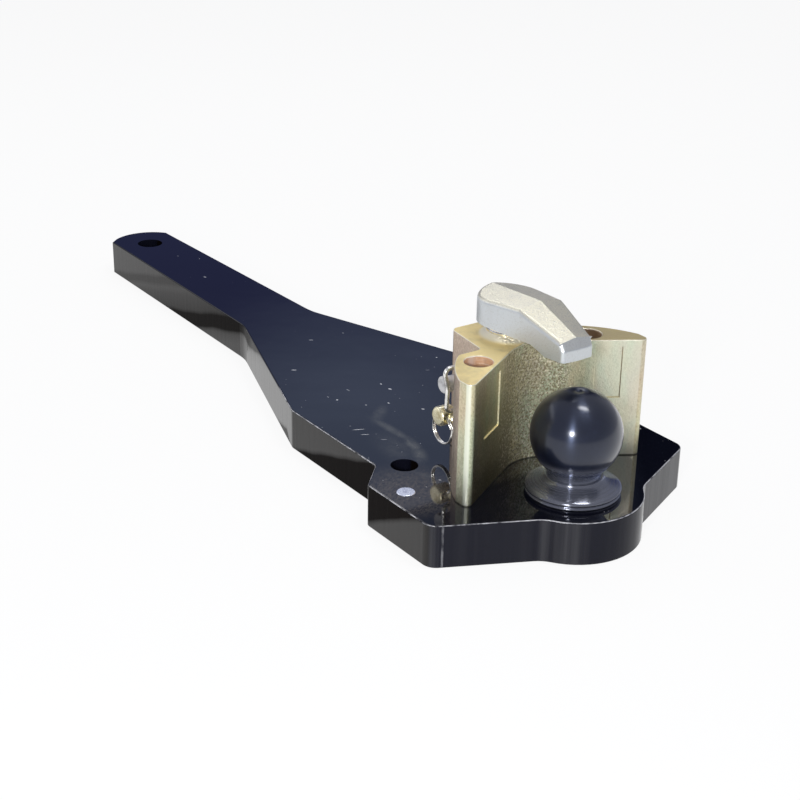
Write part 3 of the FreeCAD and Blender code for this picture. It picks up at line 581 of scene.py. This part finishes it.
def makeLeverZinc(look):
    material, tree, shader = startMaterial("leverZinc")
    at = place(tree)
    nz = facing(tree)[2]
    pits = noise(tree, at, *look["pitNoise"])
    cloud = ramp(tree, noise(tree, at, *look["cloudNoise"]), *look["cloudRange"])
    # painted highlight: upward faces lighter and warmer than the sides
    colour = blend(tree, ramp(tree, nz, *look["crownFacing"]), look["side"], look["crownHighlight"])
    colour = blend(tree, times(tree, cloud, look["cloudAmount"]), colour, look["pit"])
    pitted = times(tree, ramp(tree, pits, *look["pitRange"]), look["pitAmount"])
    colour = blend(tree, pitted, colour, look["pit"])
    tree.links.new(colour, shader.inputs["Base Color"])
    tree.links.new(ramp(tree, pits, *look["roughness"]), shader.inputs["Roughness"])
    dents = relief(tree, cells(tree, at, look["dentScale"], "SMOOTH_F1"), *look["dentRelief"])
    tree.links.new(relief(tree, pits, *look["pitRelief"], dents), shader.inputs["Normal"])
    shader.inputs["Metallic"].default_value = look["metallic"]
    return material


# small bright, zinced, bronze and rubber pieces share one recipe: light, dark, metal, roughness
smallFinishes = {
    "brightSteel": ((0.86, 0.86, 0.88), (0.62, 0.63, 0.66), 1.0, (0.16, 0.3)),
    "plugSteel": ((0.80, 0.84, 0.96), (0.46, 0.49, 0.62), 0.7, (0.20, 0.34)),
    "groundSteel": ((0.66, 0.66, 0.66), (0.48, 0.48, 0.48), 1.0, (0.25, 0.4)),
    "greySteel": ((0.62, 0.62, 0.63), (0.42, 0.42, 0.43), 0.8, (0.32, 0.5)),
    "yellowPin": ((0.90, 0.84, 0.60), (0.60, 0.52, 0.30), 0.9, (0.24, 0.38)),
    "brightWire": ((0.90, 0.89, 0.86), (0.58, 0.57, 0.55), 1.0, (0.18, 0.34)),
    "boltBlack": ((0.30, 0.19, 0.15), (0.12, 0.08, 0.07), 0.8, (0.3, 0.45)),
    "bearingBronze": ((0.66, 0.48, 0.25), (0.42, 0.29, 0.15), 1.0, (0.25, 0.4)),
    "sealRubber": ((0.05, 0.05, 0.05), (0.02, 0.02, 0.02), 0.0, (0.45, 0.6)),
}
smallGrain = {"cloudNoise": (160.0, 4.0, 0.6, 0.3), "cloudRange": (0.4, 0.68), "glossRange": (0.3, 0.7),
              "fineNoise": (1500.0, 2.0), "fineRelief": (0.15, 0.00006)}


def makeSmallFinish(name, light, dark, metallic, roughness, look):
    material, tree, shader = startMaterial(name)
    at = place(tree)
    cloud = noise(tree, at, *look["cloudNoise"])
    tone = blend(tree, ramp(tree, cloud, *look["cloudRange"]), light, dark)
    tree.links.new(tone, shader.inputs["Base Color"])
    tree.links.new(ramp(tree, cloud, *look["glossRange"], *roughness), shader.inputs["Roughness"])
    fine = relief(tree, noise(tree, at, *look["fineNoise"]), *look["fineRelief"])
    tree.links.new(fine, shader.inputs["Normal"])
    shader.inputs["Metallic"].default_value = metallic
    return material


finishes = {name: makeSmallFinish(name, *numbers, smallGrain) for name, numbers in smallFinishes.items()}
finishes["platePaint"] = makePlatePaint(platePaint)
finishes["ballSteel"] = makeBallSteel(ballSteel)
finishes["housingZinc"] = makeHousingZinc(housingZinc)
finishes["leverZinc"] = makeLeverZinc(leverZinc)
print("materials made:", len(finishes))

nodeFinish = {
    "drawbar_plate": "platePaint", "tow_ball": "ballSteel", "ball_weld": "platePaint",
    "hold_down_housing": "housingZinc", "housing_screws": "boltBlack", "screw_washers": "boltBlack",
    "dowel_pins": "groundSteel", "ear_plugs": "plugSteel", "hold_down_lever": "leverZinc",
    "hold_down_spindle": "brightSteel", "lever_roll_pin": "groundSteel", "upper_bush": "bearingBronze",
    "lower_bush": "bearingBronze", "spindle_seal": "sealRubber", "thrust_washer": "brightSteel",
    "locking_pin": "greySteel", "linch_pin": "yellowPin", "linch_ring": "brightWire",
    "keeper_wire": "brightWire", "grease_nipple": "yellowPin",
}
for name, finish in nodeFinish.items():
    mesh = nodes[name].data
    mesh.materials.clear()
    mesh.materials.append(finishes[finish])
print("CAD nodes dressed")


# the ball as it comes off the lathe: radius and height above the plate's top, in millimetres
turnedBall = {
    "centre": (0.805, 0.0), "plateTop": 0.040, "sides": 144, "ballRadius": 40.0, "ballHeight": 54.0,
    "neckRadius": 23.8, "neckRound": 12.0, "flatRadius": 9.0, "crownRound": 0.8, "dimple": (3.2, 2.6),
    "crownLip": (0.6, 0.05), "dimpleLip": (0.3, 0.2, 0.25), "neckSteps": 12, "ballSteps": 60,
    "shank": ((0.0, -39.5), (21.5, -39.5), (22.5, -38.5), (22.5, 0.0), (40.7, 0.0), (41.3, 0.4), (41.5, 1.0),
              (41.3, 1.7), (40.5, 2.2), (40.3, 2.6), (40.6, 3.0), (41.4, 3.5), (41.9, 4.2), (42.0, 5.0),
              (41.9, 5.7), (41.5, 6.4), (40.8, 7.0), (39.6, 7.7), (37.4, 8.8), (34.8, 10.0), (32.2, 11.1),
              (29.8, 12.2), (27.9, 13.2),
              (26.5, 14.2), (25.9, 14.9), (25.7, 15.3), (25.5, 15.9), (25.0, 16.2), (24.3, 16.2)),
}


def ballProfile(look):
    radius, height, corner = look["ballRadius"], look["ballHeight"], look["neckRound"]
    profile = list(look["shank"])
    # a hollow round leads from the neck up into the ball
    roundX = look["neckRadius"] + corner
    drop = math.sqrt((radius + corner) ** 2 - roundX ** 2)
    meet = math.atan2(drop, roundX)
    for step in range(look["neckSteps"] + 1):
        angle = meet * step / look["neckSteps"]
        profile.append((roundX - corner * math.cos(angle), height - drop + corner * math.sin(angle)))
    edge = math.acos((look["flatRadius"] + look["crownRound"]) / radius)
    for step in range(1, look["ballSteps"] + 1):
        angle = -meet + (edge + meet) * step / look["ballSteps"]
        profile.append((radius * math.cos(angle), height + radius * math.sin(angle)))
    flat = height + math.sqrt(radius ** 2 - look["flatRadius"] ** 2)
    dimpleRadius, dimpleDepth = look["dimple"]
    lipWide, lipDrop = look["crownLip"]
    outside, inside, drop = look["dimpleLip"]
    profile += [(look["flatRadius"], flat - lipDrop), (look["flatRadius"] - lipWide, flat),
                (dimpleRadius + outside, flat), (dimpleRadius - inside, flat - drop), (0.0, flat - dimpleDepth)]
    return profile


def turnOnLathe(name, profile, look):
    shape = bmesh.new()
    cx, cy = look["centre"]
    rows = []
    for radius, height in profile:
        z = look["plateTop"] + height / 1000
        count = 1 if radius == 0 else look["sides"]
        turns = [2 * math.pi * k / count for k in range(count)]
        reach = radius / 1000
        rows.append([shape.verts.new((cx + reach * math.cos(turn), cy + reach * math.sin(turn), z))
                     for turn in turns])
    for lower, upper in zip(rows, rows[1:]):
        count = max(len(lower), len(upper))
        for k in range(count):
            corners = [lower[k % len(lower)], lower[(k + 1) % len(lower)],
                       upper[(k + 1) % len(upper)], upper[k % len(upper)]]
            shape.faces.new(list(dict.fromkeys(corners)))
    mesh = bpy.data.meshes.new(name)
    shape.to_mesh(mesh)
    shape.free()
    return mesh


def addPiece(name, mesh, finish, body, node, sharp=50.0):
    for polygon in mesh.polygons:
        polygon.use_smooth = True
    mesh.set_sharp_from_angle(angle=math.radians(sharp))
    mesh.materials.append(finishes[finish])
    piece = bpy.data.objects.new(name, mesh)
    bpy.context.scene.collection.objects.link(piece)
    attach(piece, body)
    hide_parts(node)


ballMesh = turnOnLathe("turnedBall", ballProfile(turnedBall), turnedBall)
addPiece("turnedBall", ballMesh, "ballSteel", "drawbar", "tow_ball")

# the ring on the linch pin is a split ring, two turns of one wire pressed side by side
splitRing = {"centre": (0.687, -0.0535, 0.0655), "radius": 0.0135, "wire": 0.00090, "apart": 0.00094,
             "endGap": 0.35, "crossing": 0.45, "steps": 220, "sides": 14}


def coilRing(look):
    shape = bmesh.new()
    cx, cy, cz = look["centre"]
    start, end = look["endGap"], 4 * math.pi - look["endGap"]
    rows = []
    for step in range(look["steps"] + 1):
        angle = start + (end - start) * step / look["steps"]
        across = min(1.0, max(-1.0, (angle - 2 * math.pi) / look["crossing"]))
        shift = look["apart"] * math.sin(across * math.pi / 2)
        row = []
        for k in range(look["sides"]):
            turn = 2 * math.pi * k / look["sides"]
            out = look["radius"] + look["wire"] * math.cos(turn)
            row.append(shape.verts.new((cx + out * math.cos(angle), cy + shift + look["wire"] * math.sin(turn),
                                        cz + out * math.sin(angle))))
        rows.append(row)
    for lower, upper in zip(rows, rows[1:]):
        for k in range(look["sides"]):
            n = (k + 1) % look["sides"]
            shape.faces.new((lower[k], lower[n], upper[n], upper[k]))
    shape.faces.new(rows[0][::-1])
    shape.faces.new(rows[-1])
    bmesh.ops.recalc_face_normals(shape, faces=shape.faces)
    mesh = bpy.data.meshes.new("splitRing")
    shape.to_mesh(mesh)
    shape.free()
    return mesh


addPiece("splitRing", coilRing(splitRing), "brightWire", "linch_ring", "linch_ring")
print("turned ball and split ring made")


# camera fitted to the photograph's frame
cameraFit = {"at": (1.72593, -0.83532, 0.66209), "lens": 71.82, "sensor": 36.0, "clip": (0.01, 60.0),
             "right": (0.57106141, 0.82073778, 0.01668435), "up": (-0.33805885, 0.21660002, 0.9158606),
             "back": (0.74806757, -0.52865294, 0.40114958)}
cameraData = bpy.data.cameras.new("viewCamera")
cameraData.sensor_width = cameraFit["sensor"]
cameraData.lens = cameraFit["lens"]
cameraData.clip_start, cameraData.clip_end = cameraFit["clip"]
camera = bpy.data.objects.new("viewCamera", cameraData)
turn = Matrix((cameraFit["right"], cameraFit["up"], cameraFit["back"])).transposed().to_4x4()
camera.matrix_world = Matrix.Translation(cameraFit["at"]) @ turn
bpy.context.scene.collection.objects.link(camera)
bpy.context.scene.camera = camera
bpy.context.scene.view_settings.view_transform = "Standard"

# pale floor, a dim bluish room and soft lamps; lamp powers in watts
studio = {
    "floorHalf": 9.0, "floor": (0.88, 0.88, 0.88), "floorWhite": 0.90,
    "floorDrop": 0.0004, "floorRoughness": 0.9, "floorSpecular": 0.1,
    "horizon": (0.38, 0.39, 0.44), "zenith": (0.46, 0.47, 0.52), "zenithFrom": (0.62, 0.90),
    # dim and glowing parts of the room: colour, direction, and how near it starts and is full, in degrees
    "roomParts": (((0.045, 0.052, 0.130), (-0.78, 0.55, 0.30), (38.0, 21.0)),
                  ((0.004, 0.005, 0.010), (-0.60, 0.69, 0.41), (12.0, 6.0)),
                  ((0.18, 0.22, 0.33), (-0.725, 0.489, 0.485), (10.5, 3.5))),
}
lamps = {
    "flashLamp": {"at": (1.585, -1.05, 0.59), "aim": (0.78, 0.0, 0.08), "size": (0.22, 0.22), "watts": 12.0},
    "ceilingPanel": {"at": (1.12, 0.27, 2.15), "aim": (0.80, 0.0, 0.09), "size": (0.36, 0.75), "watts": 11.0},
    "backPanel": {"at": (-0.67, 0.73, 1.62), "aim": (0.72, 0.0, 0.1), "size": (1.25, 0.9), "watts": 6.0},
    "leftPanel": {"at": (-0.75, -1.10, 0.95), "aim": (0.6, -0.1, 0.04), "size": (2.0, 1.2), "watts": 5.0},
}


def layFloor(look):
    mesh = bpy.data.meshes.new("studioFloor")
    h = look["floorHalf"]
    mesh.from_pydata([(-h, -h, 0), (h, -h, 0), (h, h, 0), (-h, h, 0)], [], [(0, 1, 2, 3)])
    floor = bpy.data.objects.new("studioFloor", mesh)
    floor.location.z = -look["floorDrop"]
    bpy.context.scene.collection.objects.link(floor)
    material, tree, shader = startMaterial("floorPaper")
    feed(tree, shader.inputs["Base Color"], look["floor"])
    shader.inputs["Roughness"].default_value = look["floorRoughness"]
    shader.inputs["Specular IOR Level"].default_value = look["floorSpecular"]
    white = tree.nodes.new("ShaderNodeEmission")
    seen = tree.nodes.new("ShaderNodeLightPath")
    mix = tree.nodes.new("ShaderNodeMixShader")
    rays = maths(tree, "MAXIMUM", seen.outputs["Is Camera Ray"], seen.outputs["Is Glossy Ray"])
    tree.links.new(times(tree, rays, look["floorWhite"]), mix.inputs["Fac"])
    tree.links.new(shader.outputs["BSDF"], mix.inputs[1])
    tree.links.new(white.outputs["Emission"], mix.inputs[2])
    tree.links.new(mix.outputs["Shader"], tree.nodes["Material Output"].inputs["Surface"])
    mesh.materials.append(material)


def towards(tree, direction, spread):
    node = tree.nodes.new("ShaderNodeVectorMath")
    node.operation = "DOT_PRODUCT"
    tree.links.new(tree.nodes.new("ShaderNodeTexCoord").outputs["Generated"], node.inputs[0])
    node.inputs[1].default_value = Vector(direction).normalized()
    return ramp(tree, node.outputs["Value"], *spread)


def lightWorld(look):
    world = bpy.data.worlds.new("studioWorld")
    bpy.context.scene.world = world
    world.use_nodes = True
    tree = world.node_tree
    back = tree.nodes["Background"]
    height = parts(tree, tree.nodes.new("ShaderNodeTexCoord").outputs["Generated"])[2]
    colour = blend(tree, ramp(tree, height, *look["zenithFrom"]), look["horizon"], look["zenith"])
    for tone, direction, (startsAt, fullAt) in look["roomParts"]:
        spread = math.cos(math.radians(startsAt)), math.cos(math.radians(fullAt))
        colour = blend(tree, towards(tree, direction, spread), colour, tone)
    seen = tree.nodes.new("ShaderNodeLightPath").outputs["Is Camera Ray"]
    tree.links.new(blend(tree, seen, colour, (1.0, 1.0, 1.0)), back.inputs["Color"])


def hangLamp(name, look):
    data = bpy.data.lights.new(name, "AREA")
    data.shape = "ELLIPSE"
    data.size, data.size_y = look["size"]
    data.energy = look["watts"]
    lamp = bpy.data.objects.new(name, data)
    lamp.location = look["at"]
    lamp.rotation_euler = (Vector(look["aim"]) - Vector(look["at"])).to_track_quat("-Z", "Y").to_euler()
    lamp.visible_camera = False
    bpy.context.scene.collection.objects.link(lamp)


layFloor(studio)
lightWorld(studio)
for name, look in lamps.items():
    hangLamp(name, look)
print("studio ready")
